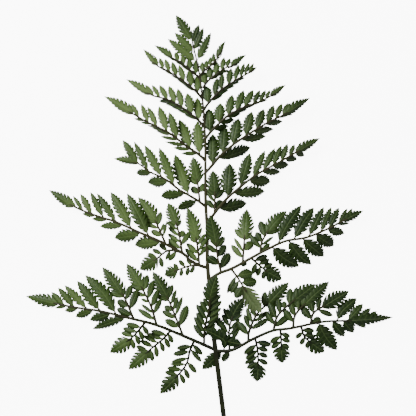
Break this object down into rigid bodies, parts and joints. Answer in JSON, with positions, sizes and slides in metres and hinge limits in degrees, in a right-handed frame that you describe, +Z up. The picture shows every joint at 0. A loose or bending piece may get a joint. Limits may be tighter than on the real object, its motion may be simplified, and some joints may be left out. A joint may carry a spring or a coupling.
{
  "type": "fern frond",
  "caption": "Cut leatherleaf fern frond, laid flat: a long bare stalk and a broad triangular blade of toothed, divided leaflets.",
  "frame": {"origin": "centre of the frond's outline, on the surface that it lies on", "axes": "+Y along the frond from the cut end of the stalk to the tip of the blade, +X to the right as seen from above, +Z up"},
  "size_m": [0.2964, 0.3992, 0.0163],
  "materials": {
    "frond": "leathery leaf, satin above and dull below"
  },
  "bodies": {
    "root": {"fern_frond": "frond"}
  },
  "joints": []
}
